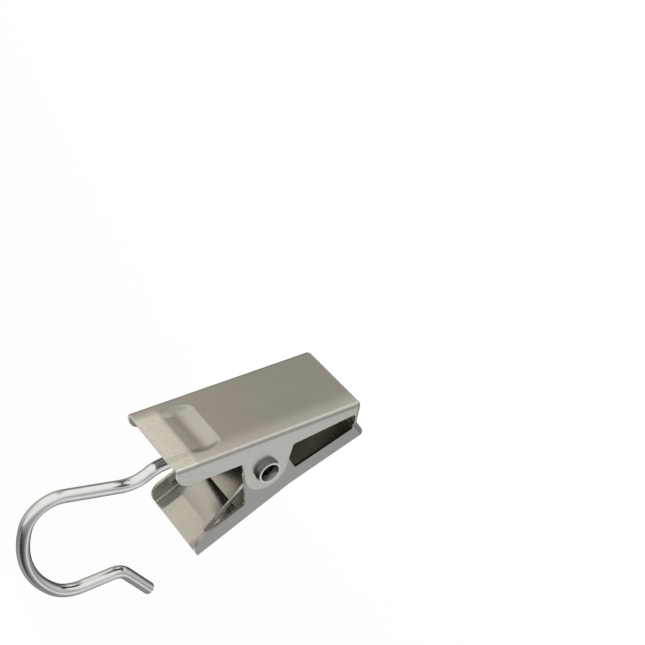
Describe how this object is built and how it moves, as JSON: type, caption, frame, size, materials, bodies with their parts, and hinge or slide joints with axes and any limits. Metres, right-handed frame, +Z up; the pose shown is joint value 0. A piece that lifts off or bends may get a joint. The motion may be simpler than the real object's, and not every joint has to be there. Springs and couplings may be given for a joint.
{
  "type": "curtain hook clip",
  "caption": "Spring clip of folded sheet metal with a bent wire hook that hangs on a rod and grips the top edge of a curtain.",
  "frame": {"origin": "the point where the rod touches the inside of the hook's crown, at the middle of the wire", "axes": "+Z up, from the clip to the hook's crown; +Y along the rivet, from its hollow tail to its solid head; +X out of the outer jaw's wide face, away from the hook's open side"},
  "size_m": [0.0315, 0.0163, 0.056],
  "materials": {
    "outer_jaw": "satin nickel-plated sheet steel, warm grey",
    "inner_jaw": "satin nickel-plated sheet steel, warm grey",
    "rivet": "satin plated steel",
    "spring": "bright drawn spring wire",
    "hook": "polished plated steel wire"
  },
  "bodies": {
    "hook": {"hook": "hook"},
    "outer_jaw": {"outer_jaw": "outer_jaw", "rivet": "rivet", "spring": "spring"},
    "inner_jaw": {"inner_jaw": "inner_jaw"}
  },
  "joints": [
    {"name": "hook_swing", "type": "hinge", "parent": "hook", "child": "outer_jaw", "pos_m": [0.00157, 0, -0.03579], "axis": [0, 1, 0], "range_deg": [-10, 10]},
    {"name": "jaw_open", "type": "hinge", "parent": "outer_jaw", "child": "inner_jaw", "pos_m": [0.00157, 0, -0.03579], "axis": [0, 1, 0], "range_deg": [0, 28], "stiffness_Nm_per_rad": 0.053, "springref_deg": -54.43, "deforming": ["spring"]}
  ]
}
